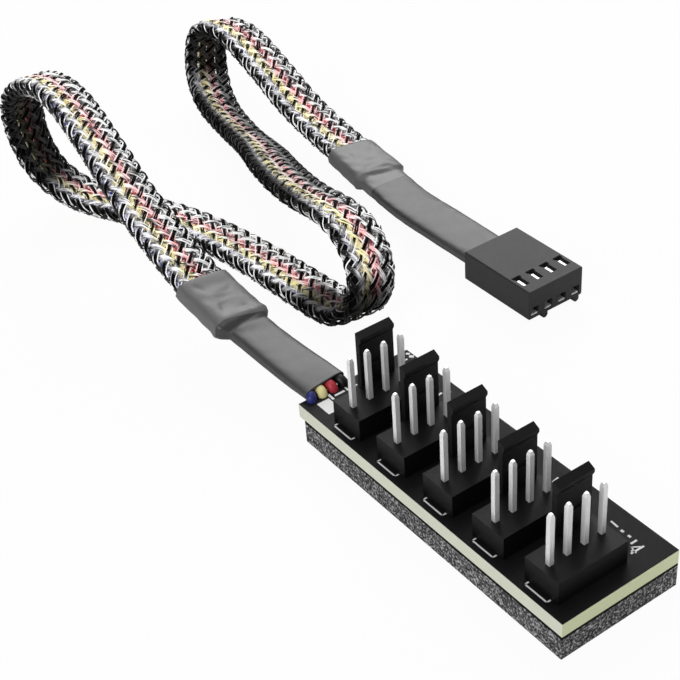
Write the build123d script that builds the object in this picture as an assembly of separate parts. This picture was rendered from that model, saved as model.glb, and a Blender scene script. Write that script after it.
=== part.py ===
from build123d import *
from math import ceil, cos, degrees, radians, sin, sqrt, tan
import os

os.makedirs("parts", exist_ok=True)

# Four-way fan power splitter: a small board with five pin headers, a flat braided cable and a plug.
# Millimetres, +Z up. The origin is the middle of the board's footprint at the foam pad's underside.

# Driving dimensions: board stack
board_length = 48.5
board_width = 17.4
board_thick = 2.0
adhesive_thick = 0.37
foam_thick = 3.05
foam_inset = 1.13

# Driving dimensions: headers
header_count = 5
header_spacing = 8.8
pin_count = 4
pin_spacing = 2.54
pin_size = 0.64
pin_above_base = 7.3
pin_tail = 1.3
pin_taper = 0.5
pin_tip_size = 0.36
pin_row_from_edge = 6.63
first_header_from_end = 8.15
base_back = 2.5
base_front = 2.83
base_side_margin = 1.27
base_height = 3.2
tab_back = 3.15
tab_front = 2.4
tab_shift = 1.89
tab_width = 5.2
tab_top = 11.07
ridge_nose_top = 10.58
ridge_nose_low = 10.13
ridge_root = 9.53
ridge_reach = 0.3
pad_reach = 0.3
pad_side_gap = 0.9
pad_top = 6.3
pin_hole = 1.0
solder_foot = 1.9
solder_drop = 0.95
solder_tip = 1.1
pocket_margin = 0.95
pocket_depth = 1.7

# Driving dimensions: cable
wire_diameter = 1.4
wire_hole = 0.95
wire_tip = 0.7
wire_tip_tail = 0.8
cable_solder_foot = 1.5
cable_solder_drop = 0.6
cable_from_edge = 4.2
wire_hole_from_end = 1.3
hole_pitch = 1.7
tight_pitch = 1.5
wire_pitch = 1.72
wire_height = 6.4
elbow_radius = 0.85
fan_radius = 1.5
step_radius = 2.5
sleeve_width = 8.2
sleeve_thick = 2.85
sleeve_wall = 0.5
shrink_wall = 0.25
shrink_clear = 0.03
bend_share = 0.45
step_share = 0.36
step_half = 0.06
sleeve_turn_step = 10.0
shrink_turn_step = 2.0

# Driving dimensions: plug
plug_from_end = -12.6
plug_length = 13.6
plug_width = 10.0
plug_height = 4.66
plug_from_edge = 42.88
rib_height = 0.9
rib_width = 1.0
rib_offsets = (-1.9, 4.0)
recess_depth = 5.0
recess_wall = 0.42
cavity_width = 2.0
cavity_height = 2.6
cavity_floor = 0.4
front_wall = 1.0
mouth_width = 1.4
mouth_height = 1.42
window_front = 1.7
window_length = 2.45
window_width = 1.1
window_head_length = 0.6
window_head_width = 1.5
edge_round = 0.25
contact_width = 1.9
contact_height = 1.72
contact_wall = 0.25
contact_length = 5.1
crimp_length = 1.6
terminal_clear = 0.03
lip_width = 1.2
lip_setback = 0.12
tang_width = 0.45
tang_setback = 0.36

# Derived levels and places
board_bottom = foam_thick + adhesive_thick
board_top = board_bottom + board_thick
cable_end_x = -board_length / 2
cable_end_y = -board_width / 2
header_xs = [cable_end_x + first_header_from_end + i * header_spacing for i in range(header_count)]
pin_row_y = cable_end_y + pin_row_from_edge
cable_y = cable_end_y + cable_from_edge
wire_hole_x = cable_end_x + wire_hole_from_end
plug_back = cable_end_x + plug_from_end
plug_y = cable_end_y + plug_from_edge
pin_ys = [pin_row_y + (i - (pin_count - 1) / 2) * pin_spacing for i in range(pin_count)]
pocket_width = solder_foot + 2 * 0.25
pocket_length = (pin_count - 1) * pin_spacing + 2 * pocket_margin + 0.2


def box(x0, x1, y0, y1, z0, z1):
    """A box between two corners."""
    return Pos((x0 + x1) / 2, (y0 + y1) / 2, (z0 + z1) / 2) * Box(x1 - x0, y1 - y0, z1 - z0)


def save(shape, name):
    shape.label = name
    export_step(shape, "parts/" + name + ".step")


# Circuit board: one row of plated holes under each header and one row for the cable wires
hole_ys = [cable_y + (i - (pin_count - 1) / 2) * hole_pitch for i in range(pin_count)]
board = box(-board_length / 2, board_length / 2, -board_width / 2, board_width / 2, board_bottom, board_top)
drills = []
for hx in header_xs:
    for py in pin_ys:
        drills.append(Pos(hx, py, board_bottom) * Cylinder(pin_hole / 2, 4 * board_thick))
for hy in hole_ys:
    drills.append(Pos(wire_hole_x, hy, board_bottom) * Cylinder(wire_hole / 2, 4 * board_thick))
board = board - drills
save(board, "circuit_board")

# Foam pad and adhesive film, relieved where the pin tails and solder joints stand down
pad_x0 = cable_end_x + foam_inset
pad_x1 = board_length / 2
adhesive = box(pad_x0, pad_x1, -board_width / 2, board_width / 2, foam_thick, board_bottom)
foam = box(pad_x0, pad_x1, -board_width / 2, board_width / 2, 0, foam_thick)
reliefs = []
for hx in header_xs:
    reliefs.append(box(
        hx - pocket_width / 2, hx + pocket_width / 2,
        pin_row_y - pocket_length / 2, pin_row_y + pocket_length / 2,
        foam_thick - pocket_depth, board_bottom + 1,
    ))
cable_relief_y = (pin_count - 1) * hole_pitch / 2 + pocket_margin
reliefs.append(box(
    cable_end_x, wire_hole_x + cable_solder_foot / 2 + 0.3,
    cable_y - cable_relief_y, cable_y + cable_relief_y,
    foam_thick - pocket_depth, board_bottom + 1,
))
adhesive = adhesive - reliefs
foam = foam - reliefs
save(adhesive, "adhesive_layer")
save(foam, "foam_pad")

# Headers: base with an upright friction tab behind the four pins
base_half = (pin_count - 1) * pin_spacing / 2 + base_side_margin
tab_y0 = pin_row_y + tab_shift - tab_width / 2
tab_y1 = pin_row_y + tab_shift + tab_width / 2


def pin_at(x, y):
    """One square pin with both ends drawn to a blunt point."""
    low = board_bottom - pin_tail
    high = board_top + base_height + pin_above_base
    shank = box(
        x - pin_size / 2, x + pin_size / 2, y - pin_size / 2, y + pin_size / 2,
        low + pin_taper, high - pin_taper,
    )
    full = Rectangle(pin_size, pin_size)
    small = Rectangle(pin_tip_size, pin_tip_size)
    top = loft([Pos(x, y, high - pin_taper) * full, Pos(x, y, high) * small])
    tail = loft([Pos(x, y, low) * small, Pos(x, y, low + pin_taper) * full])
    return shank + top + tail


for n, hx in enumerate(header_xs):
    base = box(
        hx - base_back, hx + base_front,
        pin_row_y - base_half, pin_row_y + base_half,
        board_top, board_top + base_height,
    )
    profile = Polyline(
        (-tab_back, 0), (-tab_front, 0), (-tab_front, ridge_root),
        (-tab_front + ridge_reach, ridge_nose_low), (-tab_front + ridge_reach, ridge_nose_top),
        (-tab_back + 0.06, tab_top), (-tab_back, tab_top - 0.06), close=True,
    )
    upright = Plane((hx, tab_y0, board_top), x_dir=(1, 0, 0), z_dir=(0, -1, 0))
    plate = extrude(upright * make_face(profile), -tab_width)
    pad = box(
        hx - tab_front - 0.05, hx - tab_front + pad_reach,
        tab_y0 + pad_side_gap, tab_y1 - pad_side_gap,
        board_top + base_height - 0.05, board_top + pad_top,
    )
    housing = base + plate + pad
    pins = [pin_at(hx, py) for py in pin_ys]
    for py in pin_ys:
        housing = housing - box(
            hx - pin_size / 2, hx + pin_size / 2, py - pin_size / 2, py + pin_size / 2,
            board_top - 1, board_top + base_height + 1,
        )
    save(housing, "header_%d_housing" % (n + 1))
    joints = []
    for m, py in enumerate(pin_ys):
        save(pins[m], "header_%d_pin_%d" % (n + 1, m + 1))
        barrel = Pos(hx, py, board_bottom) * Cylinder(
            pin_hole / 2, board_thick, align=(Align.CENTER, Align.CENTER, Align.MIN),
        )
        skirt = Pos(hx, py, board_bottom) * Cone(
            solder_tip / 2, solder_foot / 2, solder_drop, align=(Align.CENTER, Align.CENTER, Align.MAX),
        )
        joints.append((barrel + skirt) - pins[m])
    save(Compound(children=joints), "header_%d_solder" % (n + 1))

# Cable route: straight runs joined by tangent arcs, from the board's edge to the plug
# Each place is measured from the board's corner nearest the cable's exit, at the floor.
route_from_corner = [
    (0.15, cable_from_edge, wire_height), (-10.75, 3.6, 6.1), (-21.75, 2.5, 8.2), (-28.75, 1.9, 10.6),
    (-40.35, 1.6, 15.6), (-52.15, 2.2, 21.6), (-62.75, 3, 24.5), (-71.35, 3, 22.9),
    (-77.75, 2.7, 19), (-78.65, 2.3, 12.5), (-73.95, 2.4, 6.8), (-67.85, 5.3, 3.2),
    (-60.65, 10.4, 2.2), (-50.05, 15.1, 1.9), (-37.25, 17.6, 1.6), (-25.05, 18.4, 1.65),
    (-15.95, 19.1, 1.7), (-12.25, 20.6, 5.1), (-15.05, 23.2, 9.6), (-22.15, 24.3, 13),
    (-33.55, 24.9, 10.9), (-45.75, 28, 8.8), (-56.85, 32.7, 5.5), (-68.85, 36, 2.4),
    (-80.95, 38.4, 2.5), (-88.25, 41.5, 6), (-90.05, 43.8, 12.5), (-82.55, 45, 14.1),
    (-72.05, 45.1, 10.1), (-63.75, 44.7, 6.8), (-54.75, 44.7, 4.7), (-44.75, 44.3, 3.7),
    (-37.25, 43.4, 3.1), (-29.75, 42.3, 3.4), (-22.15, 41.7, 4.1), (plug_from_end + 0.65, 41.7, 4.0),
]
route = [(cable_end_x + x, cable_end_y + y, z) for x, y, z in route_from_corner]
step_runs = (1, 31)
braid_runs = (2, 30)
knots = [Vector(*p) for p in route]
last = len(knots) - 1


def bend_radius(before, at, after, share):
    """Radius of the arc that takes the given share of the shorter neighbouring run."""
    turn = (at - before).get_angle(after - at)
    if turn < 0.5:
        return 200.0
    shorter = min((at - before).length, (after - at).length)
    return min(200.0, share * shorter / tan(radians(turn / 2)))


radii = [0.0]
for i in range(1, last):
    beside_step = (i in step_runs) or (i - 1 in step_runs)
    radii.append(bend_radius(knots[i - 1], knots[i], knots[i + 1], step_share if beside_step else bend_share))
print("bend radii", [round(r, 1) for r in radii[1:]])


def point_on(run, share):
    return knots[run] + (knots[run + 1] - knots[run]) * share


def run_heading(run):
    return (knots[run + 1] - knots[run]).normalized()


def stations(run_a, share_a, run_b, share_b):
    """Places and headings along the route between a place on one run and a place on another."""
    spots = [(point_on(run_a, share_a), run_heading(run_a))]
    for i in range(run_a + 1, run_b + 1):
        way_in = run_heading(i - 1)
        way_out = run_heading(i)
        turn = radians(way_in.get_angle(way_out))
        under_shrink = i <= braid_runs[0] or i > braid_runs[1]
        turn_step = shrink_turn_step if under_shrink else sleeve_turn_step
        inward = (way_out - way_in * cos(turn)).normalized()
        start = knots[i] - way_in * (radii[i] * tan(turn / 2))
        pieces = max(1, ceil(degrees(turn) / turn_step))
        for k in range(pieces + 1):
            part_turn = turn * k / pieces
            at = start + way_in * (radii[i] * sin(part_turn)) + inward * (radii[i] * (1 - cos(part_turn)))
            spots.append((at, way_in * cos(part_turn) + inward * sin(part_turn)))
    spots.append((point_on(run_b, share_b), run_heading(run_b)))
    return spots


def flat_section(at, heading, width, thick):
    """A flat section with round edges, its width along Y and its thickness across the heading."""
    slant = sqrt(1 - heading.Y ** 2)
    level = Vector(heading.X, 0, heading.Z)
    return Plane(at, x_dir=(0, 1, 0), z_dir=level) * SlotOverall(width / slant, thick)


def band(spots_and_sizes):
    """A solid flat band through sections that stand across the route."""
    sections = [flat_section(at, heading, *size) for (at, heading), size in spots_and_sizes]
    return loft(sections, ruled=True)


def past_ends(spots, reach):
    """The same stations with both end ones moved outward, for a hollow that is open at both ends."""
    first_at, first_heading = spots[0]
    last_at, last_heading = spots[-1]
    first = (first_at - first_heading * reach, first_heading)
    last = (last_at + last_heading * reach, last_heading)
    return [first] + spots[1:-1] + [last]


# Braided sleeve: a flat hollow tube between the two heat-shrink steps
sleeve_outer = (sleeve_width, sleeve_thick)
sleeve_inner = (sleeve_width - 2 * sleeve_wall, sleeve_thick - 2 * sleeve_wall)
sleeve_spots = stations(step_runs[0], 0.5 + step_half, step_runs[1], 0.5 - step_half)
sleeve = band([(spot, sleeve_outer) for spot in sleeve_spots])
sleeve = sleeve - band([(spot, sleeve_inner) for spot in past_ends(sleeve_spots, 0.3)])
save(sleeve, "braided_sleeve")

# Heat-shrink tubes: narrow over the bare wires, wide over the end of the sleeve
wide_inner = (sleeve_width + 2 * shrink_clear, sleeve_thick + 2 * shrink_clear)


def narrow_inner(pitch):
    return ((pin_count - 1) * pitch + wire_diameter + 2 * shrink_clear, wire_diameter + 2 * shrink_clear)


def shrink_tube(before, size_before, after, size_after):
    """One tube that changes size between two lists of stations."""
    spots = before + after
    sizes = [size_before] * len(before) + [size_after] * len(after)
    solid = band([(spot, (w + 2 * shrink_wall, t + 2 * shrink_wall)) for spot, (w, t) in zip(spots, sizes)])
    return solid - band(list(zip(past_ends(spots, 0.3), sizes)))


board_end_share = 0.03
plug_end_share = (plug_back - 0.05 - route[-2][0]) / (route[-1][0] - route[-2][0])
save(shrink_tube(
    stations(0, board_end_share, step_runs[0], 0.5 - step_half), narrow_inner(tight_pitch),
    stations(step_runs[0], 0.5 + step_half, braid_runs[0], 0.5), wide_inner,
), "heat_shrink_board_end")
save(shrink_tube(
    stations(braid_runs[1], 0.5, step_runs[1], 0.5 - step_half), wide_inner,
    stations(step_runs[1], 0.5 + step_half, last - 1, plug_end_share), narrow_inner(wire_pitch),
), "heat_shrink_plug_end")

# Plug housing
plug_front = plug_back + plug_length
body_low = rib_height
body_high = rib_height + plug_height
floor_level = body_low + cavity_floor
cavity_back = plug_back + recess_depth
cavity_ys = [plug_y + (i - (pin_count - 1) / 2) * pin_spacing for i in range(pin_count)]
body = box(plug_back, plug_front, plug_y - plug_width / 2, plug_y + plug_width / 2, body_low, body_high)
body = fillet(body.edges().filter_by(Axis.X), edge_round)
for offset in rib_offsets:
    rib_plane = Plane((plug_back, plug_y + offset, rib_width / 2), x_dir=(0, 1, 0), z_dir=(1, 0, 0))
    rib = rib_plane * Circle(rib_width / 2)
    body = body + extrude(rib, plug_length)
    body = body + box(
        plug_back, plug_front, plug_y + offset - rib_width / 2, plug_y + offset + rib_width / 2,
        rib_width / 2, body_low + 0.1,
    )
recess_half = (pin_count - 1) * pin_spacing / 2 + cavity_width / 2
body = body - box(
    plug_back - 1, cavity_back, plug_y - recess_half, plug_y + recess_half,
    floor_level, body_high - recess_wall,
)
for cy in cavity_ys:
    body = body - box(
        cavity_back - 0.5, plug_front - front_wall, cy - cavity_width / 2, cy + cavity_width / 2,
        floor_level, floor_level + cavity_height,
    )
    body = body - box(
        plug_front - front_wall - 1, plug_front + 1, cy - mouth_width / 2, cy + mouth_width / 2,
        floor_level, floor_level + mouth_height,
    )
    body = body - box(
        plug_front - window_front - window_length, plug_front - window_front,
        cy - window_width / 2, cy + window_width / 2,
        floor_level + cavity_height / 2, body_high + 1,
    )
    window_back = plug_front - window_front - window_length
    body = body - box(
        window_back, window_back + window_head_length, cy - window_head_width / 2, cy + window_head_width / 2,
        floor_level + cavity_height / 2, body_high + 1,
    )
save(body, "plug_housing")

# Plug terminals: folded box contact, floor strip, crimp round the wire and a spring tang
contact_low = floor_level + terminal_clear
crimp_outer = contact_width
wire_level = contact_low + crimp_outer / 2
crimp_x0 = cavity_back + 0.1
crimp_x1 = crimp_x0 + crimp_length
contact_x1 = plug_front - front_wall - 0.15
contact_x0 = contact_x1 - contact_length
wire_end_x = crimp_x1 + 0.15
for n, cy in enumerate(cavity_ys):
    shell = box(
        contact_x0, contact_x1, cy - contact_width / 2, cy + contact_width / 2,
        contact_low, contact_low + contact_height,
    )
    hollow = box(
        contact_x0 - 1, contact_x1 + 1,
        cy - contact_width / 2 + contact_wall, cy + contact_width / 2 - contact_wall,
        contact_low + contact_wall, contact_low + contact_height - contact_wall,
    )
    ring = Plane((crimp_x0, cy, wire_level), x_dir=(0, 1, 0), z_dir=(1, 0, 0)) * Circle(crimp_outer / 2)
    bore = Plane((crimp_x0 - 1, cy, wire_level), x_dir=(0, 1, 0), z_dir=(1, 0, 0)) * Circle(wire_diameter / 2)
    strip = box(crimp_x1 - 0.3, contact_x0 + 0.3, cy - 0.5, cy + 0.5, contact_low, contact_low + contact_wall)
    lip = box(
        contact_x1 - 0.3, plug_front - lip_setback, cy - lip_width / 2, cy + lip_width / 2,
        contact_low, contact_low + contact_wall,
    )
    contact_high = contact_low + contact_height
    tang_high = body_high - tang_setback
    tang_line = Polyline(
        (plug_front - 5.6, contact_high - 0.1),
        (plug_front - 5.6, contact_high + 0.1),
        (plug_front - 4.0, floor_level + cavity_height - 0.1),
        (plug_front - 3.7, tang_high - 0.15),
        (plug_front - 3.55, tang_high),
        (plug_front - 2.0, tang_high),
        (plug_front - 2.0, tang_high - 0.2),
        (plug_front - 3.45, tang_high - 0.2),
        (plug_front - 3.75, floor_level + cavity_height - 0.25),
        (plug_front - 5.2, contact_high - 0.1),
        close=True,
    )
    tang = Plane((0, cy + tang_width / 2, 0), x_dir=(1, 0, 0), z_dir=(0, -1, 0)) * make_face(tang_line)
    terminal = (shell - hollow) + extrude(tang, tang_width) + strip + lip + extrude(ring, crimp_length)
    terminal = terminal - extrude(bore, crimp_length + 2)
    save(terminal, "plug_terminal_%d" % (n + 1))

# Wires: from the soldered board hole, through the whole cable, into the crimps
step_low = point_on(step_runs[0], 0.5 - step_half)
step_high = point_on(step_runs[0], 0.5 + step_half)
wire_names = ("wire_blue", "wire_yellow", "wire_red", "wire_black")
cable_joints = []
for n, name in enumerate(wire_names):
    place = n - (pin_count - 1) / 2
    tight = Vector(0, place * tight_pitch, 0)
    loose = Vector(0, place * wire_pitch, 0)
    hole = Vector(wire_hole_x, hole_ys[n], board_top)
    corner = Vector(wire_hole_x, hole_ys[n], wire_height)
    points = [hole, corner, knots[0] + tight, knots[1] + tight, step_low + tight, step_high + loose]
    bends = [elbow_radius, fan_radius, radii[1], step_radius, step_radius]
    for i in range(2, last):
        points.append(knots[i] + loose)
        bends.append(radii[i])
    points.append(knots[last] + loose)
    bends.append(fan_radius)
    points.append(Vector(cavity_back - 0.35, cavity_ys[n], wire_level))
    bends.append(fan_radius)
    points.append(Vector(wire_end_x, cavity_ys[n], wire_level))
    line = FilletPolyline(*points, radius=bends)
    section = Plane(hole, x_dir=(1, 0, 0), z_dir=(0, 0, 1)) * Circle(wire_diameter / 2)
    cover = sweep(section, path=line)
    tip = Pos(hole.X, hole.Y, board_bottom - wire_tip_tail) * Cylinder(
        wire_tip / 2, board_thick + wire_tip_tail + 0.3, align=(Align.CENTER, Align.CENTER, Align.MIN),
    )
    wire = cover + tip
    save(wire, name)
    volume_ratio = cover.volume / (section.area * line.length)
    print(name, "length", round(line.length, 1), "volume ratio", round(volume_ratio, 4))
    barrel = Pos(hole.X, hole.Y, board_bottom) * Cylinder(
        wire_hole / 2, board_thick, align=(Align.CENTER, Align.CENTER, Align.MIN),
    )
    skirt = Pos(hole.X, hole.Y, board_bottom) * Cone(
        wire_tip / 2 + 0.1, cable_solder_foot / 2, cable_solder_drop,
        align=(Align.CENTER, Align.CENTER, Align.MAX),
    )
    cable_joints.append((barrel + skirt) - tip)
save(Compound(children=cable_joints), "cable_solder")

centre_line = FilletPolyline(*knots, radius=radii[1:])
print("cable centre line", round(centre_line.length, 1))
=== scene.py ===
import bpy
import math
import numpy as np
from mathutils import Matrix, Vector, kdtree


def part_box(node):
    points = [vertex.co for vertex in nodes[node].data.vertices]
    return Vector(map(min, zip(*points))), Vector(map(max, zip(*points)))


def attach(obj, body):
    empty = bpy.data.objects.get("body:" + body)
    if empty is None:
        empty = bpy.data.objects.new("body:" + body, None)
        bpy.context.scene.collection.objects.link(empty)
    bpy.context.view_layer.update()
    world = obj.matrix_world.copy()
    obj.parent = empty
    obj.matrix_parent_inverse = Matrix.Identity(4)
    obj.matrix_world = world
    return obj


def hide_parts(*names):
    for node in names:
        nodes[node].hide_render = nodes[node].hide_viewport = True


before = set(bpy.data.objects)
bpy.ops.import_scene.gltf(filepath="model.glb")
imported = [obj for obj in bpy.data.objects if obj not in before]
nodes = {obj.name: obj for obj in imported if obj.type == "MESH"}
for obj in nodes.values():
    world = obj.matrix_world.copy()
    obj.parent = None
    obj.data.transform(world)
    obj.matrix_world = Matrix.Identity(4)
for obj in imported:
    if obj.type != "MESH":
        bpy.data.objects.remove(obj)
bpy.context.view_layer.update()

mm = 0.001
scene = bpy.context.scene
board_low, board_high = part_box("circuit_board")

# Camera
camera_place = (104.354, -87.064, 125.984)
camera_turn = (53.4925, 3.5656, 53.7826)
view = bpy.data.cameras.new("photo_view")
view.lens = 80.723
view.sensor_width = 36
view.clip_start = 0.01
view.clip_end = 20
camera = bpy.data.objects.new("photo_view", view)
camera.location = [place * mm for place in camera_place]
camera.rotation_euler = [math.radians(turn) for turn in camera_turn]
scene.collection.objects.link(camera)
scene.camera = camera
scene.view_settings.view_transform = "Standard"


# Shader sums
class Value:
    """A shader output that can be used in ordinary sums."""

    def __init__(self, shading, socket):
        self.shading = shading
        self.socket = socket

    def combine(self, operation, other):
        return self.shading.add("ShaderNodeMath", {"operation": operation}, {0: self, 1: other})

    def __add__(self, other):
        return self.combine("ADD", other)

    __radd__ = __add__

    def __mul__(self, other):
        return self.combine("MULTIPLY", other)

    __rmul__ = __mul__

    def above(self, level):
        return self.combine("GREATER_THAN", level)

    def below(self, level):
        return self.combine("LESS_THAN", level)


class Shading:
    """A node tree whose nodes all come from one method."""

    def __init__(self, tree):
        self.tree = tree

    def feed(self, socket, value):
        """Give a socket a link, a colour or a plain value."""
        if isinstance(value, Value):
            self.tree.links.new(value.socket, socket)
        elif socket.type == "RGBA":
            socket.default_value = (*value, 1.0)
        else:
            socket.default_value = value

    def add(self, kind, settings=None, inputs=None, output=0, stops=None):
        """A new node with its settings, its ramp's stops and what its sockets get."""
        node = self.tree.nodes.new(kind)
        for key, value in (settings or {}).items():
            setattr(node, key, value)
        if stops:
            ramp = node.color_ramp
            while len(ramp.elements) < len(stops):
                ramp.elements.new(0.5)
            for element, (place, colour) in zip(ramp.elements, stops):
                element.position = place
                element.color = (*colour, 1.0)
        for key, value in (inputs or {}).items():
            self.feed(node.inputs[key], value)
        return Value(self, node.outputs[output])

    def camera_ray(self):
        return self.add("ShaderNodeLightPath", output="Is Camera Ray")


class Finish(Shading):
    """One material with its main shader."""

    def __init__(self, name, colour=None, rough=None, metal=0.0, shine=0.5):
        self.material = bpy.data.materials.new(name)
        self.material.use_nodes = True
        super().__init__(self.material.node_tree)
        self.shader = self.tree.nodes["Principled BSDF"]
        self.set("Metallic", metal)
        self.set("Specular IOR Level", shine)
        if colour is not None:
            self.set("Base Color", colour)
        if rough is not None:
            self.set("Roughness", rough)

    def set(self, name, value):
        self.feed(self.shader.inputs[name], value)

    def place(self):
        return self.add("ShaderNodeTexCoord", output="Object")

    def axis(self, which):
        return self.add("ShaderNodeSeparateXYZ", {}, {0: self.place()}, output="XYZ".index(which))

    def noise(self, scale, detail=2.0, rough=0.5):
        return self.add("ShaderNodeTexNoise", {}, {
            "Vector": self.place(), "Scale": scale, "Detail": detail, "Roughness": rough,
        })

    def ramp(self, value, *stops):
        return self.add("ShaderNodeValToRGB", {}, {0: value}, stops=stops)

    def attribute(self, name, output="Color"):
        return self.add("ShaderNodeAttribute", {"attribute_name": name}, output=output)

    def mix(self, share, first, second, how="MIX"):
        settings = {"data_type": "RGBA", "blend_type": how}
        return self.add("ShaderNodeMix", settings, {0: share, 6: first, 7: second}, output=2)

    def bump(self, height, strength, depth):
        """Raise the surface by a height pattern, whose full depth is in millimetres."""
        inputs = {"Strength": strength, "Distance": depth * mm, "Height": height}
        self.set("Normal", self.add("ShaderNodeBump", {}, inputs))


# Finishes
pure_black, pure_white = (0, 0, 0), (1, 1, 1)


def nylon_finish():
    """Moulded nylon, near black on the headers and dark grey on the plug."""
    header_black, plug_grey = (0.003, 0.003, 0.0033), (0.031, 0.031, 0.032)
    headers_end_y = 15
    finish = Finish("black_nylon", shine=0.24)
    on_plug = finish.axis("Y").above(headers_end_y * mm)
    finish.set("Base Color", finish.mix(on_plug, header_black, plug_grey))
    finish.set("Roughness", finish.noise(1500, 3) * 0.12 + on_plug * -0.06 + 0.44)
    finish.bump(finish.noise(9000, 3), 0.12, 0.04)
    return finish


def tinned_finish(name, colour, metal, spots, unevenness):
    """Dull tin plating with uneven gloss."""
    finish = Finish(name, colour, metal=metal)
    finish.set("Roughness", finish.noise(spots, 2) * unevenness + 0.32)
    return finish


def solder_finish():
    finish = Finish("solder", (0.7, 0.7, 0.72), 0.25, metal=1.0)
    finish.bump(finish.noise(1800, 2), 0.3, 0.08)
    return finish


def laminate_finish():
    """The board: black mask on its faces, bare woven glass on its sides and painted shade in the bores for
    the wires.
    """
    skin = 0.02
    end_skin = 0.05
    bores_x, bores_y = (-24.2, -21.6), -8.2
    bore_shade = (0.004, 0.004, 0.004)
    finish = Finish("board", shine=0.14)
    height = finish.axis("Z")
    masked = height.above(board_high[2] - skin * mm) + height.below(board_low[2] + skin * mm)
    weave = finish.add("ShaderNodeTexWave", {"wave_type": "BANDS", "bands_direction": "Z"}, {
        "Vector": finish.place(), "Scale": 900.0, "Distortion": 1.5, "Detail": 2.0, "Detail Scale": 40.0,
    })
    side_glass = finish.mix(weave, (0.70, 0.73, 0.58), (0.96, 0.97, 0.84))
    end_glass = finish.mix(weave, (0.72, 0.82, 0.42), (0.98, 1.0, 0.76))
    at_end = finish.axis("X").above(board_high[0] - end_skin * mm)
    glass = finish.mix(at_end, side_glass, end_glass)
    # painted shade: the walls of the bores are painted near black
    in_bores = finish.axis("X").above(bores_x[0] * mm) * finish.axis("X").below(bores_x[1] * mm)
    in_bores = in_bores * finish.axis("Y").above(bores_y * mm)
    glass = finish.mix(in_bores, glass, bore_shade)
    mask = finish.mix(finish.noise(260, 3), (0.004, 0.004, 0.005), (0.008, 0.008, 0.009))
    finish.set("Base Color", finish.mix(masked, glass, mask))
    finish.set("Roughness", finish.noise(900, 2) * 0.15 + 0.45)
    return finish


def adhesive_finish():
    finish = Finish("adhesive", (0.002, 0.002, 0.002), 0.7, shine=0.1)
    finish.bump(finish.noise(2500, 2), 0.2, 0.05)
    return finish


def foam_finish():
    """Grey foam, speckled by its cells and grains."""
    finish = Finish("foam", rough=0.9)
    cells = finish.noise(3400, 2, 0.6)
    grain_inputs = {"Vector": finish.place(), "Scale": 3600.0}
    grains = finish.add("ShaderNodeTexVoronoi", {"feature": "F1"}, grain_inputs)
    finish.set("Base Color", finish.ramp(
        cells * 0.75 + grains * 0.4,
        (0.38, (0.006, 0.006, 0.006)), (0.5, (0.05, 0.05, 0.052)),
        (0.62, (0.18, 0.18, 0.185)), (0.74, (0.62, 0.62, 0.62)),
    ))
    finish.bump(cells + grains, 0.9, 0.25)
    return finish


def shrink_finish():
    """Heat-shrink tube, with a paler tone where it grips the braid than where it lies on the bare wires, a
    painted sheen.
    """
    between_tubes_y = 10
    board_grip_x, plug_grip_x = -41, -61.5
    finish = Finish("heat_shrink", shine=0.75)
    at_board = finish.axis("X").below(board_grip_x * mm) * finish.axis("Y").below(between_tubes_y * mm)
    at_plug = finish.axis("X").below(plug_grip_x * mm) * finish.axis("Y").above(between_tubes_y * mm)
    thin_tone = finish.mix(finish.noise(120, 4), (0.028, 0.028, 0.029), (0.050, 0.050, 0.051))
    # painted sheen: the paler tone where the tube grips the braid stands in for its stronger reflection
    # there
    sheen_tone = finish.mix(finish.noise(90, 5), (0.10, 0.10, 0.101), (0.16, 0.16, 0.161))
    finish.set("Base Color", finish.mix(at_board + at_plug, thin_tone, sheen_tone))
    finish.set("Roughness", finish.noise(900, 3) * 0.1 + 0.36)
    finish.bump(finish.noise(650, 4) + finish.noise(5000, 2) * 0.15, 0.16, 0.1)
    return finish


def wire_finish(name, colour, veil_share):
    """Insulation, and inside the sleeve its colour as seen past the clear filaments, with white specks for
    them that are partly painted highlights, painted shade and a painted glow.
    """
    filament_white = (0.92, 0.92, 0.93)
    finish = Finish(name, shine=0.4)
    # depth carries the painted shade of the wire inside the sleeve
    depth = finish.attribute("depth")
    veil = finish.attribute("veil", "Fac")
    # white specks for the clear filaments in front, partly their painted highlights
    speck = finish.ramp(finish.noise(3000, 1), (0.40, pure_black), (0.60, pure_white))
    # painted shade: dark spots on the wire inside the sleeve
    hole = finish.ramp(finish.noise(2100, 1), (0.36, (0.06, 0.06, 0.06)), (0.50, pure_white))
    veiled = finish.mix(speck * veil * veil_share, colour, filament_white)
    spotted = finish.mix(veil, veiled, finish.mix(1.0, veiled, hole, "MULTIPLY"))
    seen = finish.mix(1.0, spotted, depth, "MULTIPLY")
    finish.set("Base Color", seen)
    # a painted glow of the wire's colour inside the sleeve
    finish.set("Emission Color", finish.mix(veil, pure_black, seen))
    finish.set("Emission Strength", 0.3)
    finish.set("Roughness", finish.noise(1200, 2) * 0.2 + 0.28)
    finish.bump(finish.noise(3000, 2), 0.1, 0.04)
    return finish


def yarn_finish(name, rough, shine, glow):
    """Filaments that carry their colours with painted glints and shade, and a weak painted glow that stands
    in for light passing through them.
    """
    finish = Finish(name, shine=shine)
    yarn = finish.attribute("yarn")
    finish.set("Base Color", yarn)
    finish.set("Emission Color", yarn)
    finish.set("Emission Strength", glow)
    finish.set("Roughness", finish.noise(1400, 2) * 0.12 + rough)
    return finish


def ink_finish():
    finish = Finish("legend_ink", (0.84, 0.84, 0.84), 0.55)
    finish.bump(finish.noise(6000, 2), 0.15, 0.03)
    return finish
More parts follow.
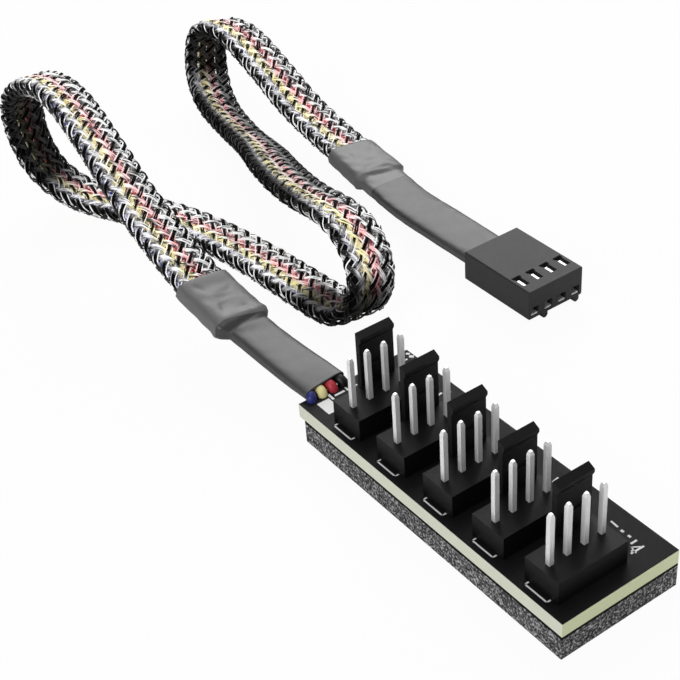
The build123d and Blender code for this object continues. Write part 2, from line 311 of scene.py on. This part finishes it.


# Each wire's colour, and the most that the clear filaments, with their painted highlights, whiten it.
wire_looks = {
    "wire_blue": ((0.025, 0.03, 0.20), 0.85),
    "wire_yellow": ((0.96, 0.88, 0.42), 0.45),
    "wire_red": ((0.55, 0.04, 0.06), 0.5),
    "wire_black": ((0.008, 0.008, 0.008), 0.6),
}
nylon = nylon_finish()
tin = tinned_finish("tinned_pins", (1.0, 1.0, 1.0), 0.42, 600, 0.08)
sheet_tin = tinned_finish("tinned_contacts", (0.88, 0.88, 0.89), 0.5, 800, 0.1)
solder_metal = solder_finish()
laminate = laminate_finish()
film = adhesive_finish()
sponge = foam_finish()
shrink = shrink_finish()
wire_finishes = {name: wire_finish(name, colour, share) for name, (colour, share) in wire_looks.items()}
clear_yarn = yarn_finish("braid_clear_yarn", 0.3, 0.2, 0.55)
dark_yarn = yarn_finish("braid_black_yarn", 0.55, 0.05, 0.0)
ink = ink_finish()

# Cable route
# The route's points in millimetres, each with the roll of the flat cable there in degrees.
# Further on, s is a length along the cable, w a place across it and n a height over its middle.
route = [
    (-24.6, -4.5, 6.1, -3), (-35.0, -5.1, 6.1, 7), (-46.0, -6.2, 8.2, 13), (-53.0, -6.8, 10.6, 14),
    (-64.6, -7.1, 15.6, 19), (-76.4, -6.5, 21.6, 23), (-87.0, -5.7, 24.5, 20), (-95.6, -5.7, 22.9, 7),
    (-102.0, -6.0, 19.0, -10), (-102.9, -6.4, 12.5, -25), (-98.2, -6.3, 6.8, -26), (-92.1, -3.4, 3.2, -16),
    (-84.9, 1.7, 2.2, -8), (-74.3, 6.4, 1.9, -8), (-61.5, 8.9, 1.6, -9), (-49.3, 9.7, 1.65, -5),
    (-40.2, 10.4, 1.7, 0), (-36.5, 11.9, 5.1, 6), (-39.3, 14.5, 9.6, 12), (-46.4, 15.6, 13.0, 11),
    (-57.8, 16.2, 10.9, 13), (-70.0, 19.3, 8.8, 17), (-81.1, 24.0, 5.5, 24), (-93.1, 27.3, 2.4, 27),
    (-105.2, 29.7, 2.5, 19), (-112.5, 32.8, 6.0, 7), (-114.3, 35.1, 12.5, -3), (-106.8, 36.3, 14.1, -8),
    (-96.3, 36.4, 10.1, -8), (-88.0, 36.0, 6.8, -7), (-79.0, 36.0, 4.7, -7), (-69.0, 35.6, 3.7, -6),
    (-61.5, 34.7, 3.1, -2), (-54.0, 33.6, 3.4, 3), (-46.4, 33.0, 4.1, 5), (-36.2, 33.0, 4.0, 3),
]
knots = [Vector(row[:3]) * mm for row in route]


def side_at(i):
    """Direction of the flat cable's width at one route point."""
    before = knots[max(i - 1, 0)]
    after = knots[min(i + 1, len(knots) - 1)]
    along = (after - before).normalized()
    level = Vector((0, 1, 0))
    level = (level - along * level.dot(along)).normalized()
    up = along.cross(level)
    roll = math.radians(route[i][3])
    return level * math.cos(roll) + up * math.sin(roll)


sides = [side_at(i) for i in range(len(knots))]


def smooth_line(name, points, resolution, thick=0.0, rounds=0):
    """A smooth curve through the pull of its points, with a round section when thick is given."""
    data = bpy.data.curves.new(name, "CURVE")
    data.dimensions = "3D"
    data.bevel_depth = thick / 2
    data.bevel_resolution = rounds
    data.use_fill_caps = thick > 0
    spline = data.splines.new("NURBS")
    spline.points.add(len(points) - 1)
    for point, place in zip(spline.points, points):
        point.co = (*place, 1.0)
    spline.order_u = 3
    spline.use_endpoint_u = True
    spline.resolution_u = resolution
    thing = bpy.data.objects.new(name, data)
    scene.collection.objects.link(thing)
    bpy.context.view_layer.update()
    mesh = bpy.data.meshes.new_from_object(thing.evaluated_get(bpy.context.evaluated_depsgraph_get()))
    bpy.data.objects.remove(thing)
    return mesh


def places_on(points):
    """Places along the smooth curve of some points, from its first point on."""
    mesh = smooth_line("route_line", points, 36)
    found = np.array([v.co[:] for v in mesh.vertices])
    bpy.data.meshes.remove(mesh)
    first = np.array(points[0])
    if np.linalg.norm(found[0] - first) > np.linalg.norm(found[-1] - first):
        found = found[::-1]
    return found


def unit(rows):
    return rows / np.linalg.norm(rows, axis=-1, keepdims=True)


side_reach = 4
middle = places_on(knots)
rim = places_on([knot + side * side_reach * mm for knot, side in zip(knots, sides)])
steps = np.linalg.norm(np.diff(middle, axis=0), axis=1)
keep = np.concatenate([[True], steps > 1e-7])
middle, rim = middle[keep], rim[keep]
along_length = np.concatenate([[0.0], np.cumsum(np.linalg.norm(np.diff(middle, axis=0), axis=1))])
total = along_length[-1]
forward = unit(np.gradient(middle, axis=0))
across = rim - middle
across = unit(across - forward * np.sum(across * forward, axis=1, keepdims=True))
upward = np.cross(forward, across)


def frame_at(s):
    """Centre, across and upward directions at lengths along the cable, with its start led on straight."""
    centre, ahead, side, up = (
        np.stack([np.interp(s, along_length, rows[:, k]) for k in range(3)], -1)
        for rows in (middle, forward, across, upward)
    )
    return centre + ahead * np.minimum(s, 0)[:, None], unit(side), unit(up)


def by_length(s, table, column=1):
    """One column of a table whose rows start with a length along the cable in millimetres."""
    return np.interp(s / mm, [row[0] for row in table], [row[column] for row in table])


def rise(value, start, width):
    """0 up to a start, 1 from a width further on, and even in between."""
    return np.clip((value - start) / width, 0, 1)


def band(value, low, high, soft):
    """1 from low to high, falling to 0 over a soft width outside them."""
    return rise(value, low - soft, soft) * (1 - rise(value, high, soft))


def place_mesh(name, mesh):
    thing = bpy.data.objects.new(name, mesh)
    scene.collection.objects.link(thing)
    return thing


def make_piece(name, points, faces, finish, colours=None):
    """A smooth piece from its points and faces, with a colour for each point where they are given."""
    mesh = bpy.data.meshes.new(name)
    mesh.from_pydata(points.tolist(), [], faces.tolist())
    mesh.materials.append(finish.material)
    mesh.polygons.foreach_set("use_smooth", [True] * len(mesh.polygons))
    if colours is not None:
        layer = mesh.color_attributes.new("yarn", "FLOAT_COLOR", "POINT")
        layer.data.foreach_set("color", np.concatenate([colours, np.ones((len(colours), 1))], 1).ravel())
    mesh.update()
    return place_mesh(name, mesh)


def tube_faces(rings, around, start=0):
    """Faces between rings of points, the first of which has the number start."""
    i = np.arange(rings - 1)[:, None]
    j = np.arange(around)[None, :]
    a = start + i * around + j
    b = start + i * around + (j + 1) % around
    return np.stack([a, b, b + around, a + around], -1).reshape(-1, 4)


# Painted shade: darker places where the sleeve and its wires lie in shadow, such as the inner faces of its
# bends
# Rows of start, end and soft length, face (1 upward, -1 downward, 0 both), lowest and highest place
# across, and brightness, with lengths and places in millimetres.
painted_shade_zones = [
    (74, 97, 6, 1, -4.2, 4.2, 0.03),
    (151, 161, 4, 0, -4.4, 1.4, 0.10),
    (156, 163, 3, -1, -4.4, 4.4, 0.12),
    (184, 236, 8, 0, -4.4, -2.9, 0.05),
    (186, 240, 8, 0, -2.3, 0.6, 0.72),
    (186, 240, 8, 0, 1.2, 4.4, 0.22),
    (244, 256, 6, -1, -4.2, 4.2, 0.03),
]


def painted_shade_kept(s, w, face):
    """How much of its colour a yarn or wire keeps under the painted shade at a length, a place across and a
    face of the cable.
    """
    kept = np.ones(np.broadcast(s, w).shape)
    for start, end, soft, side, low, high, level in painted_shade_zones:
        share = band(s / mm, start, end, soft) * band(w / mm, low, high, 0.6)
        if side:
            share = share * rise(face * side, -0.3, 0.5)
        kept = kept * (1 - share * (1 - level))
    return kept


# Wires
wire_thick, wire_pitch = 1.4, 1.72
board_pitch, board_knots = 1.5, 2
hole_x, hole_row_y, hole_pitch = -23.7, -4.5, 1.7
hole_heights = (5.35, 5.75)
crimp_places, wire_level = (-32.2, -30.1), 2.28
plug_y, pin_pitch = 34.18, 2.54
bare_at_board, bare_at_plug = 14, 30
# how far the four wires lie off the cable's middle, at each route point
wire_shifts = [0, 0, -0.3, -0.35, -0.35, -0.35, -0.3, 0, 0, 0.3]
wire_shifts += [0.4] * 6 + [0.2] * 2 + [0] * 8 + [0.4] * 6 + [0] * 4
ruler = kdtree.KDTree(len(middle))
for i, spot in enumerate(middle):
    ruler.insert(Vector(spot), i)
ruler.balance()


def round_strand(name, points, thick, rounds, finish):
    """The mesh of a round strand in one finish."""
    mesh = smooth_line(name, points, 12, thick * mm, rounds)
    mesh.materials.append(finish.material)
    return mesh


def join_things(things, name):
    """Join things into the first of them, under one name."""
    bpy.ops.object.select_all(action="DESELECT")
    for thing in things:
        thing.select_set(True)
    bpy.context.view_layer.objects.active = things[0]
    bpy.ops.object.join()
    things[0].name = name
    things[0].data.name = name
    return things[0]


def insulated_wire(name, row):
    """One wire from its hole in the board, along the cable and into its crimp in the plug."""
    hole_y = hole_row_y + row * hole_pitch
    crimp_y = plug_y + row * pin_pitch
    line = [Vector((hole_x, hole_y, z)) * mm for z in hole_heights]
    for i, (knot, side) in enumerate(zip(knots, sides)):
        pitch = board_pitch if i < board_knots else wire_pitch
        line.append(knot + side * (row * pitch + wire_shifts[i]) * mm)
    line += [Vector((x, crimp_y, wire_level)) * mm for x in crimp_places]
    mesh = round_strand(name + "_insulation", line, wire_thick, 3, wire_finishes[name])
    spots = np.array([v.co[:] for v in mesh.vertices])
    near = np.array([ruler.find(Vector(spot))[1] for spot in spots])
    s = along_length[near]
    reach = spots - middle[near]
    # painted shade: the dark zones, and a slight darkening all along inside the sleeve, kept in the depth
    # attribute
    shade = painted_shade_kept(s, np.sum(reach * across[near], 1), np.sign(np.sum(reach * upward[near], 1)))
    inside = (s > bare_at_board * mm) & (s < total - bare_at_plug * mm)
    shade = np.where(inside, np.clip(shade, 0.02, 1) * 0.95, 1.0)
    layer = mesh.color_attributes.new("depth", "FLOAT_COLOR", "POINT")
    layer.data.foreach_set("color", np.repeat(shade, 4))
    layer = mesh.attributes.new("veil", "FLOAT", "POINT")
    layer.data.foreach_set("value", inside.astype(float))
    return place_mesh(name + "_insulation", mesh)


wires = [insulated_wire(name, n - 1.5) for n, name in enumerate(wire_looks)]

# Painted shade: dark cords inside the two round edges of the sleeve beside the wires, where the sleeve's
# edges lie in shade
rim_place, rim_thick = 2.95, 1.15
rim_knots = slice(2, 32)


def rim_shade_cord(number, hand):
    line = [knot + side * (hand * rim_place) * mm for knot, side in zip(knots[rim_knots], sides[rim_knots])]
    mesh = round_strand("rim_shade_cord", line, rim_thick, 2, dark_yarn)
    layer = mesh.color_attributes.new("yarn", "FLOAT_COLOR", "POINT")
    layer.data.foreach_set("color", [0.006, 0.006, 0.006, 1.0] * len(mesh.vertices))
    return place_mesh("braid_rim_cord_%d" % number, mesh)


rim_shade_cords = [rim_shade_cord(1, -1), rim_shade_cord(2, 1)]
cable_wires = join_things(wires, "cable_wires")
bpy.ops.object.shade_smooth()

# Braid
braid_start, braid_end = 21.0 * mm, total - 33.5 * mm
half_flat, braid_radius = 2.72 * mm, 1.16 * mm
round_part = math.pi * braid_radius
girth = 4 * half_flat + 2 * round_part
carriers = 8
filament_step, filament_around = 0.3, 5
floor_gap = 0.06
weave_height, weave_sharpness = 0.14, 1.4


def on_girth(share):
    """Across and upward offsets, and the outward direction, at a share of the girth."""
    run = np.mod(share, 1.0) * girth
    w = np.zeros_like(run)
    n = np.zeros_like(run)
    ow = np.zeros_like(run)
    on = np.zeros_like(run)
    # the girth starts in the middle of the upper face and goes to the +across edge
    top = (run < half_flat) | (run >= girth - half_flat)
    wrapped = np.where(run >= girth - half_flat, run - girth, run)
    w[top], n[top], on[top] = wrapped[top], braid_radius, 1.0
    edge = (run >= half_flat) & (run < half_flat + round_part)
    turn = (run - half_flat) / braid_radius
    w[edge] = half_flat + braid_radius * np.sin(turn[edge])
    n[edge] = braid_radius * np.cos(turn[edge])
    ow[edge], on[edge] = np.sin(turn[edge]), np.cos(turn[edge])
    low = (run >= half_flat + round_part) & (run < 3 * half_flat + round_part)
    w[low] = (2 * half_flat + round_part - run)[low]
    n[low], on[low] = -braid_radius, -1.0
    far = (run >= 3 * half_flat + round_part) & (run < girth - half_flat)
    turn = (run - 3 * half_flat - round_part) / braid_radius
    w[far] = -half_flat - braid_radius * np.sin(turn[far])
    n[far] = -braid_radius * np.cos(turn[far])
    ow[far], on[far] = -np.sin(turn[far]), -np.cos(turn[far])
    return w, n, ow, on


# Rows of length and of the braid's pitch, or of its drift round the girth, there.
pitch_table = [
    (0, 2.2), (80, 2.2), (100, 2.5), (165, 2.5), (185, 3.0),
    (200, 2.5), (250, 2.3), (262, 2.45), (330, 2.45),
]
drift_table = [
    (0, 0.034), (84, 0.034), (100, 0.082), (180, 0.082),
    (200, 0.05), (245, 0.05), (260, 0.075), (330, 0.075),
]
s_fine = np.linspace(0, total, 4000)
turn_steps = np.diff(s_fine) / (carriers * mm * by_length(s_fine, pitch_table)[1:])
turns_fine = np.concatenate([[0], np.cumsum(turn_steps)])
# where the wires' colours show in the clear filaments, and as which tints
tint_shift = -0.8
tint_places = [(n - 1.5) * wire_pitch + tint_shift for n in range(4)]
tints = [(0.90, 0.90, 0.96), (1.0, 0.88, 0.38), (1.0, 0.44, 0.44), (0.80, 0.82, 0.80)]
short_blur, long_blur = np.array([0.25, 0.5, 0.25]), np.ones(5) / 5
# the strip along the near edge of the flat faces where dark and clear filaments mingle
strip_low, strip_high, strip_soft = -3.0, -2.6, 0.4


def gentle_sway(chance, s):
    """Slow random sway of a filament to its two sides, in millimetres."""
    sway = 0
    for _ in range(4):
        size, waves, start = chance.uniform(0.03, 0.07), chance.uniform(0.4, 2.4), chance.uniform(0, 6.28)
        sway = sway + size * np.sin(s / mm * waves + start)
    return sway


def blurred(chance, count, weights):
    """Random values along a filament, blurred over its neighbouring rings."""
    return np.convolve(chance.random(count + len(weights) - 1), weights, "valid")


def tinted(chance, w, on, colour, tint_share):
    """A filament's own colour, tinted in short stretches by the wires under it."""
    count = len(w)
    shade = np.repeat(np.array(colour)[None, :] * chance.uniform(0.72, 1.08), count, 0)
    for tint_place, tint in zip(tint_places, tints):
        near = band(w / mm, tint_place - 0.45, tint_place + 0.45, 0.5) * (np.abs(on) > 0.9) * tint_share
        near = near * np.clip(2.6 * blurred(chance, count, long_blur) - 0.55, 0.1, 1.0)
        shade = shade * (1 - near[:, None] + np.array(tint)[None, :] * near[:, None])
    return shade


def mingled(chance, w, on, shade, glint_and_shade):
    """A dark filament's colour, which turns pale in grains along the near edge's strip."""
    pale = band(w / mm, strip_low, strip_high, strip_soft) * (np.abs(on) > 0.8)
    lost = pale * (glint_and_shade > 0.25)
    grain = np.clip(0.25 + 0.9 * chance.random(len(w)), 0, 1)
    return shade * (1 - lost[:, None]) + (grain * lost)[:, None]


def painted_glints_and_shade(w, on, glint_and_shade, rim_glint_and_shade, far_side):
    """A clear filament's painted glints and shade: even near one edge, sharp elsewhere, painted dark on the
    round edges but for any dashes there, and darker past far_side.
    """
    speckled = (1 - rise(w / mm, strip_high, strip_soft)) * (np.abs(on) > 0.8)
    sharp = np.clip((glint_and_shade - 0.34) * 9.0, 0.03, 1.0)
    even = np.clip((glint_and_shade - 0.2) * 3.0, 0.15, 1.0)
    glint_and_shade = sharp * (1 - speckled) + speckled * even
    brim = 1 - rise(np.abs(on), 0.725, 0.125)
    glint_and_shade = glint_and_shade * (1 - brim) + brim * rim_glint_and_shade
    if far_side is not None:
        glint_and_shade = glint_and_shade * (1 - 0.9 * rise(w / mm, far_side, 0.5))
    return glint_and_shade


def lay_filaments(name, finish, hand, places, thick, colour, seed,
                  tint_share=0.0, dark=False, dashed=False, far_side=None, high=0.0):
    """Filaments of the yarns that wind one way round the flat cable, over and under the others in turn."""
    chance = np.random.default_rng(seed)
    count = int((braid_end - braid_start) / (filament_step * mm))
    s = np.linspace(braid_start, braid_end, count)
    turns = np.interp(s, s_fine, turns_fine)
    centre, side, up = frame_at(s)
    around = filament_around
    angle = np.arange(around) / around * 2 * math.pi
    points, faces, colours = [], [], []
    for k in range(carriers):
        for place in places:
            sway = gentle_sway(chance, s)
            aside = (place + sway) * mm / girth
            share = hand * turns + k / carriers + by_length(s, drift_table) + aside
            w, n, ow, on = on_girth(share)
            out = side * ow[:, None] + up * on[:, None]
            swing = np.tanh(weave_sharpness * np.cos(8 * math.pi * (2 * turns + hand * aside)))
            swing = swing / math.tanh(weave_sharpness)
            lift = (hand * weave_height * swing + high + 0.02 * chance.standard_normal()) * mm
            spine = centre + side * w[:, None] + up * n[:, None] + out * lift[:, None]
            spine[:, 2] = np.maximum(spine[:, 2], floor_gap * mm + thick / 2)
            heading = unit(np.gradient(spine, axis=0))
            breadth = unit(np.cross(heading, out))
            thin = thick / 2 * (1 + 0.12 * chance.standard_normal())
            rings = (
                spine[:, None, :]
                + breadth[:, None, :] * (np.cos(angle)[None, :, None] * thin)
                + out[:, None, :] * (np.sin(angle)[None, :, None] * thin * 0.85)
            )
            faces.append(tube_faces(count, around, len(points) * count * around))
            points.append(rings.reshape(-1, 3))
            # painted glints and shade and rim dashes are drawn for every kind, also where a kind shows only
            # one of them
            shade = tinted(chance, w, on, colour, tint_share)
            glint_and_shade = blurred(chance, count, short_blur)
            dashes = np.clip((blurred(chance, count, long_blur) - 0.42) * 8, 0.03, 1)
            if dark:
                shade = mingled(chance, w, on, shade, glint_and_shade)
                glint_and_shade = np.ones(count)
            else:
                glint_and_shade = painted_glints_and_shade(w, on, glint_and_shade, dashes if dashed else 0.02, far_side)
            # its colour, times the painted glints and shade and the painted shade of the dark zones
            rows = shade * (glint_and_shade * painted_shade_kept(s, w, on))[:, None]
            colours.append(np.repeat(rows, around, 0))
    points, faces = np.concatenate(points), np.concatenate(faces)
    return make_piece(name, points, faces, finish, np.clip(np.concatenate(colours), 0, 1))


clear, black = (0.96, 0.96, 0.97), (0.003, 0.003, 0.003)
white_yarns = lay_filaments(
    "braid_white_yarns", clear_yarn, 1, (-0.38, 0.12), 0.22 * mm, clear, 3, tint_share=0.9, far_side=3.2,
)
fine_yarns = lay_filaments(
    "braid_fine_yarns", clear_yarn, 1, (-0.13, 0.38), 0.20 * mm, clear, 4, tint_share=0.9, far_side=2.2,
)
cross_yarns = lay_filaments(
    "braid_cross_yarns", clear_yarn, -1, (-0.56, 0.56), 0.18 * mm, clear, 6, tint_share=0.8, dashed=True,
)
black_yarns = lay_filaments(
    "braid_black_yarns", dark_yarn, -1, (-0.14, 0.14), 0.27 * mm, black, 5, dark=True, high=0.05,
)

# Heat-shrink tubes
tube_step, tube_around, tube_wall = 0.22, 72, 0.22
tube_squareness = 0.5
crease_waves = 26
fold_half_width, fold_share = 0.55, 0.7


def creases(chance, s, angle):
    """Small random waves over length and angle, for a tube that has shrunk unevenly."""
    waves = np.zeros((len(s), len(angle)))
    for _ in range(crease_waves):
        along, lobes, start = chance.uniform(0.4, 2.6), chance.integers(1, 9), chance.uniform(0, 6.28)
        wave = np.sin(along * s[:, None] / mm + lobes * angle[None, :] + start)
        waves += wave / (1 + 0.5 * along + 0.35 * lobes)
    return waves / 4.0


def fold_depth(s, place_across, fold):
    """Depth of one fold: its length and place across, its turn, its half length and its depth."""
    length, place, turn, reach, depth = fold
    du, ds = place_across - place, s[:, None] / mm - length
    off_line = du * math.cos(turn) - ds * math.sin(turn)
    on_line = du * math.sin(turn) + ds * math.cos(turn)
    ridge = np.clip(1 - np.abs(off_line) / fold_half_width, 0, 1)
    ridge = ridge * np.clip(1.3 - np.abs(on_line) / reach, 0, 1)
    return ridge * depth * fold_share


def shrink_piece(name, table, start, end, seed, folds):
    """A shrunk tube from rows of length, half width, half thickness and crease height, with its folds."""
    count = int((end - start) / (tube_step * mm))
    s = np.linspace(start, end, count)
    centre, side, up = frame_at(s)
    half_w, half_t, crease = (by_length(s, table, column)[:, None] for column in (1, 2, 3))
    angle = np.arange(tube_around) / tube_around * 2 * math.pi
    c, q = np.cos(angle)[None, :], np.sin(angle)[None, :]
    ring_w = np.sign(c) * np.abs(c) ** tube_squareness
    ring_t = np.sign(q) * np.abs(q) ** tube_squareness
    bumps = creases(np.random.default_rng(seed), s, angle) * crease * mm
    for fold in folds:
        bumps = bumps - fold_depth(s, half_w * ring_w, fold) * mm
    w = half_w * mm * ring_w + bumps * c
    t = half_t * mm * ring_t + bumps * q
    rings = centre[:, None, :] + side[:, None, :] * w[..., None] + up[:, None, :] * t[..., None]
    piece = make_piece(name, rings.reshape(-1, 3), tube_faces(count, tube_around), shrink)
    bpy.ops.object.select_all(action="DESELECT")
    piece.select_set(True)
    bpy.context.view_layer.objects.active = piece
    bpy.ops.object.mode_set(mode="EDIT")
    bpy.ops.mesh.select_all(action="SELECT")
    bpy.ops.mesh.normals_make_consistent(inside=False)
    bpy.ops.object.mode_set(mode="OBJECT")
    wall = piece.modifiers.new("wall", "SOLIDIFY")
    wall.thickness = tube_wall * mm
    wall.offset = -1
    bpy.ops.object.modifier_apply(modifier="wall")
    return piece


board_tube_start, board_tube_end = -0.3, 25.9
board_tube = [
    (-1, 3.15, 0.72, 0.0), (0, 3.15, 0.74, 0.02), (3, 3.2, 0.9, 0.02), (13, 3.22, 1.0, 0.02),
    (15.6, 3.3, 1.05, 0.05), (16.6, 4.25, 1.5, 0.12), (17.3, 4.55, 1.62, 0.15), (18.4, 4.36, 1.6, 0.12),
    (22, 4.33, 1.62, 0.1), (25.2, 4.38, 1.62, 0.05), (25.9, 4.34, 1.6, 0.03),
]
board_tube_folds = [
    (19.5, -1.6, 0.5, 1.6, 0.3), (18.2, 1.4, -0.7, 1.5, 0.28), (21.6, 0.6, 0.9, 1.8, 0.22),
    (23.6, -2.2, -0.4, 1.2, 0.2), (16.2, 0.2, 1.45, 2.4, 0.25), (13.6, -1.0, 0.25, 1.6, 0.1),
]
board_shrink = shrink_piece(
    "heat_shrink_at_board", board_tube, board_tube_start * mm, board_tube_end * mm, 11, board_tube_folds,
)
plug_tube_start, plug_tube_end = total - 37.3 * mm, total - 0.6 * mm
far = total / mm
plug_tube = [
    (far - 37.3, 4.30, 1.58, 0.03), (far - 36.6, 4.38, 1.62, 0.06), (far - 33, 4.34, 1.62, 0.12),
    (far - 29.8, 4.4, 1.6, 0.12), (far - 28.8, 4.5, 1.5, 0.12), (far - 27.9, 3.75, 1.15, 0.08),
    (far - 20, 3.55, 1.0, 0.03), (far, 3.52, 0.97, 0.02),
]
plug_tube_folds = [
    (far - 31.2, -0.4, -0.75, 2.4, 0.3), (far - 33.6, -2.0, 0.35, 1.8, 0.26),
    (far - 29.4, 1.2, 0.9, 1.6, 0.26), (far - 34.2, 1.6, -0.5, 1.5, 0.16),
    (far - 28.2, -1.0, 1.4, 2.2, 0.22), (far - 24.5, -1.4, 0.2, 1.8, 0.1),
]
plug_shrink = shrink_piece(
    "heat_shrink_at_plug", plug_tube, plug_tube_start, plug_tube_end, 13, plug_tube_folds,
)

# Board legend
board_top = board_high[2] / mm
pin_y = -5.88
first_header_x, header_spacing, headers = -16.1, 8.8, 5
mark_reach, mark_y, mark_end_y = 1.75, pin_y - 1.9, pin_y - 1.45
mark_width, ink_lift, patch_lift = 0.22, 0.012, 0.005


def flat_bar(x0, y0, x1, y1, width, lift=ink_lift):
    """A flat bar with square ends over two places on the board."""
    bpy.ops.object.select_all(action="DESELECT")
    bpy.ops.mesh.primitive_plane_add(size=1)
    bar = bpy.context.active_object
    length = math.hypot(x1 - x0, y1 - y0)
    turn = math.atan2(y1 - y0, x1 - x0)
    c, s = math.cos(turn), math.sin(turn)
    middle_x, middle_y = (x0 + x1) / 2, (y0 + y1) / 2
    for v in bar.data.vertices:
        px, py = v.co.x * (length + width), v.co.y * width
        v.co = Vector((middle_x + px * c - py * s, middle_y + px * s + py * c, board_top + lift)) * mm
    return bar


# Strokes of the legend: from x and y, to x and y, and width.
strokes = []
for n in range(headers):
    header_x = first_header_x + header_spacing * n
    left, right = header_x - mark_reach, header_x + mark_reach
    strokes += [
        (left, mark_y, right, mark_y, mark_width),
        (left, mark_y, left, mark_end_y, mark_width),
        (right, mark_y, right, mark_end_y, mark_width),
    ]
strokes += [
    # the white rectangle beside the wires, then the marks at that end of the board
    (-21.75, -6.06, -20.95, -6.06, 1.85),
    (-23.2, -4.7, -22.25, -4.75, 0.34), (-22.6, -4.05, -22.6, -2.85, 0.34), (-23.0, -2.2, -22.5, -2.25, 0.3),
    (-22.55, -1.2, -22.6, -0.8, 0.25), (-23.5, 8.2, -23.4, 8.3, 0.4), (-22.72, 8.2, -22.62, 8.3, 0.5),
    (-22.6, 6.9, -22.6, 7.4, 0.25),
    # the marks along the far edge
    (-14.1, 5.6, -14.2, 6.3, 0.3), (-13.7, 7.2, -13.7, 7.3, 0.3), (7.15, 5.75, 7.0, 6.55, 0.3),
    (16.3, 6.2, 17.25, 6.12, 0.25), (18.1, 6.03, 18.2, 6.03, 0.34), (19.2, 6.04, 19.3, 6.04, 0.34),
    (20.2, 5.45, 20.2, 6.1, 0.28),
    # the figure four, read from the near end of the board
    (21.3, 4.35, 21.35, 6.05, 0.26), (20.65, 5.0, 21.25, 4.75, 0.2), (20.65, 5.05, 21.15, 5.75, 0.2),
    (21.05, 4.6, 21.5, 4.75, 0.2),
]
legend = join_things([flat_bar(*stroke) for stroke in strokes], "board_legend")
legend.data.materials.append(ink.material)

# A patch of mask that closes the wire holes round the wires
mask_patch = flat_bar(-23.1, -7.0, -23.1, -2.0, 2.0, patch_lift)
mask_patch.name = "board_mask_patch"
mask_patch.data.name = "board_mask_patch"
mask_patch.data.materials.append(laminate.material)

# Finishes on the solids
solid_finishes = {
    "_housing": nylon,
    "_pin_": tin,
    "terminal": sheet_tin,
    "solder": solder_metal,
    "circuit_board": laminate,
    "adhesive_layer": film,
    "foam_pad": sponge,
}
for name, thing in nodes.items():
    for word, finish in solid_finishes.items():
        if word in name:
            for place in thing.material_slots:
                place.material = finish.material

# Each piece joins the root body, and the solids that the pieces replace are hidden
yarns = [white_yarns, fine_yarns, cross_yarns, black_yarns]
tubes = [board_shrink, plug_shrink]
for piece in [cable_wires, *rim_shade_cords, *yarns, *tubes, legend, mask_patch]:
    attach(piece, "root")
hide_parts("wire_blue", "wire_yellow", "wire_red", "wire_black")
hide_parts("braided_sleeve")
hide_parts("heat_shrink_board_end")
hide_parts("heat_shrink_plug_end")
into_plug = [(-0.0335, 0.0339, 0.003), (-0.0305, 0.03418, 0.00228)]
followed = [tuple(p) for p in middle[:-4:6]] + [tuple(middle[-1])] + into_plug

# Floor
floor_size, floor_drop = 6, 0.02
bpy.ops.object.select_all(action="DESELECT")
bpy.ops.mesh.primitive_grid_add(x_subdivisions=4, y_subdivisions=4, size=floor_size, location=(0, 0, 0))
floor = bpy.context.active_object
floor.name = "floor"
for v in floor.data.vertices:
    v.co.z = -floor_drop * mm
paper = Finish("floor_paper", (0.88, 0.88, 0.88), 0.9, shine=0.0)
paper_glow = paper.add("ShaderNodeEmission", {}, {"Color": pure_white, "Strength": 1.0})
paper_shown = paper.add("ShaderNodeMixShader", {}, {
    0: paper.camera_ray() * 0.95, 1: Value(paper, paper.shader.outputs[0]), 2: paper_glow,
})
paper.feed(paper.tree.nodes["Material Output"].inputs[0], paper_shown)
floor.data.materials.append(paper.material)

# World
world = bpy.data.worlds.new("studio")
world.use_nodes = True
scene.world = world
sky = Shading(world.node_tree)
room_light = sky.tree.nodes["Background"]
sky.feed(room_light.inputs["Color"], pure_white)
sky.feed(room_light.inputs["Strength"], 0.28)
backdrop = sky.add("ShaderNodeBackground", {}, {"Color": pure_white, "Strength": 1.0})
sky_shown = sky.add("ShaderNodeMixShader", {}, {
    0: sky.camera_ray(), 1: Value(sky, room_light.outputs[0]), 2: backdrop,
})
sky.feed(sky.tree.nodes["World Output"].inputs[0], sky_shown)

# Lamps
lamp_aim = Vector((-0.03, 0.01, 0))


def lamp(name, place, power, size):
    """A square lamp that points at the object."""
    data = bpy.data.lights.new(name, "AREA")
    data.energy = power
    data.size = size
    thing = bpy.data.objects.new(name, data)
    thing.location = place
    thing.rotation_euler = (lamp_aim - Vector(place)).to_track_quat("-Z", "Y").to_euler()
    scene.collection.objects.link(thing)


lamp("back", (-0.68, 0.50, 0.62), 5.6, 0.72)
lamp("key", (0.24, -0.86, 0.60), 3.6, 0.4)
lamp("top", (-0.05, 0.0, 1.0), 1.6, 0.6)
